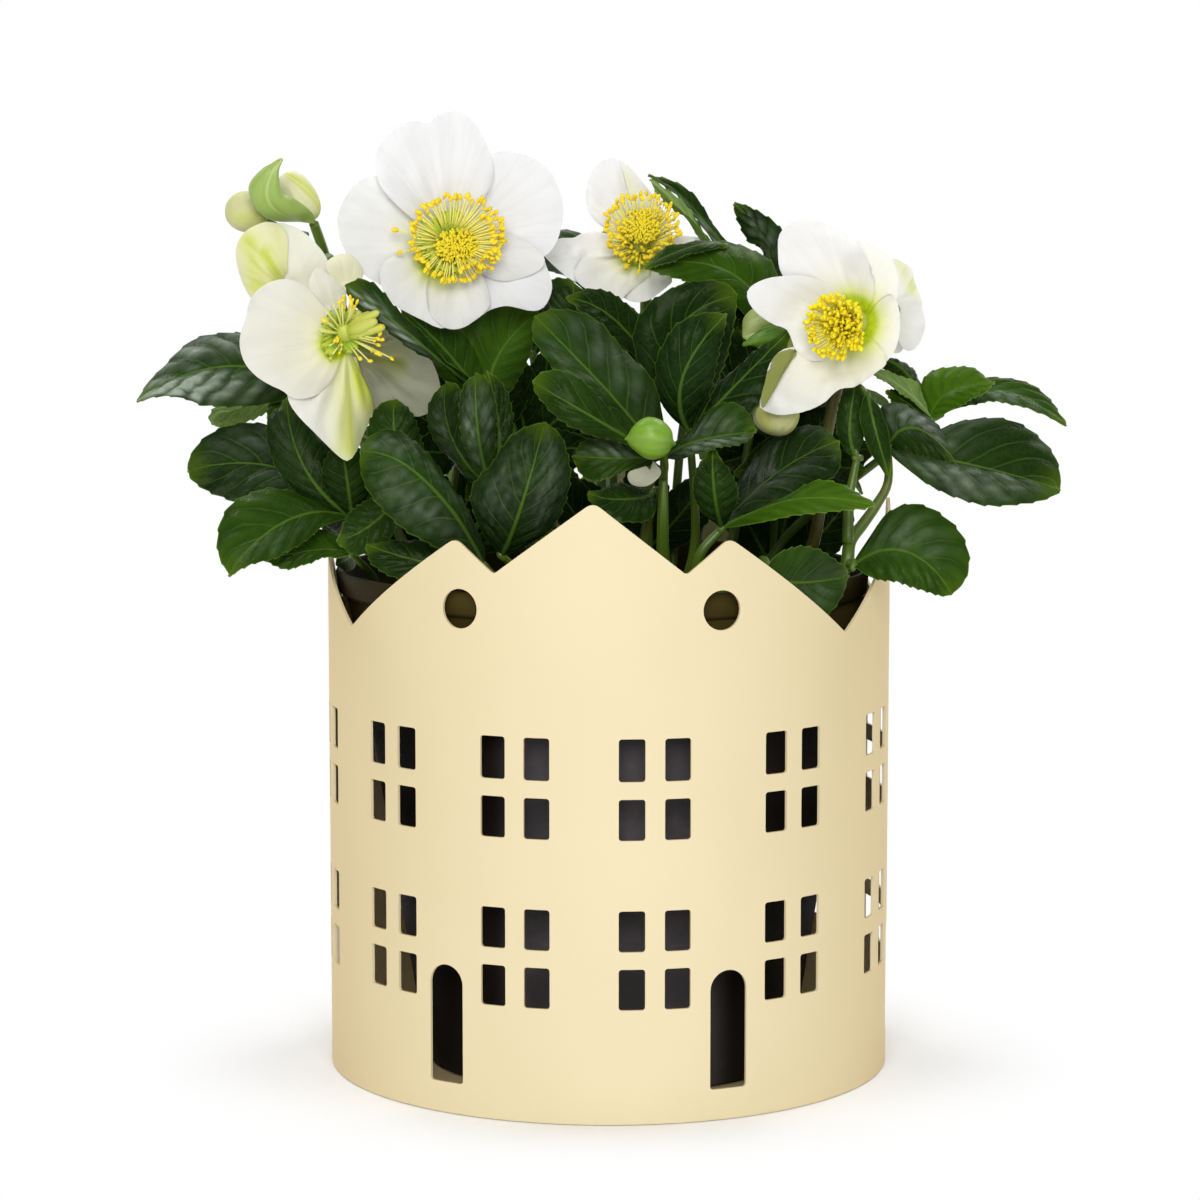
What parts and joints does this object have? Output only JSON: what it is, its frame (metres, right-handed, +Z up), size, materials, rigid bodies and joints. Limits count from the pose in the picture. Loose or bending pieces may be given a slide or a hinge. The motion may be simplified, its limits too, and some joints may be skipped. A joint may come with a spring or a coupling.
{
  "type": "potted hellebore",
  "caption": "White-flowered Christmas rose in a nursery pot, standing in a round sheet-metal sleeve whose rim is cut as gabled houses with doors and windows.",
  "frame": {"origin": "centre of the round base plate's underside, on the surface it stands on", "axes": "+Z up along the pot's axis; -Y is the front, where the flowers face; +X is to the right seen from the front"},
  "size_m": [0.3292, 0.2268, 0.3378],
  "materials": {
    "sleeve_coat": "satin",
    "pot_plastic": "satin",
    "soil": "matte",
    "leaf": "satin",
    "stem": "satin",
    "bract": "satin",
    "bud": "satin",
    "sepal": "matte",
    "stamen": "matte"
  },
  "bodies": {
    "root": {"base_plate": "sleeve_coat", "bract_beside_d": "bract", "bract_hanging": "leaf", "bract_hooked": "bract", "bract_stem": "stem", "bud_h": "bud", "bud_in_bract": "bud", "bud_j": "bud", "bud_k": "bract", "flower_a_sepals": "sepal", "flower_a_stamens": "stamen", "flower_a_stem": "stem", "flower_b_sepals": "sepal", "flower_b_stamens": "stamen", "flower_b_stem": "stem", "flower_c_sepals": "sepal", "flower_c_stamens": "stamen", "flower_c_stem": "stem", "flower_d_sepals": "sepal", "flower_d_stamens": "stamen", "flower_d_stem": "stem", "flower_e_sepals": "sepal", "flower_e_stem": "stem", "flower_f_half_open": "bud", "flower_f_stem": "stem", "leaf_back_a": "leaf", "leaf_back_b": "leaf", "leaf_back_c": "leaf", "leaf_back_d": "leaf", "leaf_back_e": "leaf", "leaf_back_g": "leaf", "leaf_back_top": "leaf", "leaf_front_left": "leaf", "leaf_front_mid": "leaf", "leaf_front_quilted": "leaf", "leaf_inner_left": "leaf", "leaf_inner_mid": "leaf", "leaf_inner_right": "leaf", "leaf_left_fan": "leaf", "leaf_left_high": "leaf", "leaf_left_low": "leaf", "leaf_low_mid": "leaf", "leaf_mid_left": "leaf", "leaf_right_big": "leaf", "leaf_right_bottom": "leaf", "leaf_right_high": "leaf", "leaf_top_mid": "leaf", "leaf_top_right": "leaf", "leaf_upper_left": "leaf", "leaf_upper_mid": "leaf", "nursery_pot": "pot_plastic", "petal_scrap": "sepal", "pot_sleeve": "sleeve_coat", "potting_soil": "soil", "stem_centre_leaves": "leaf", "stem_right_leaves": "leaf"}
  },
  "joints": []
}
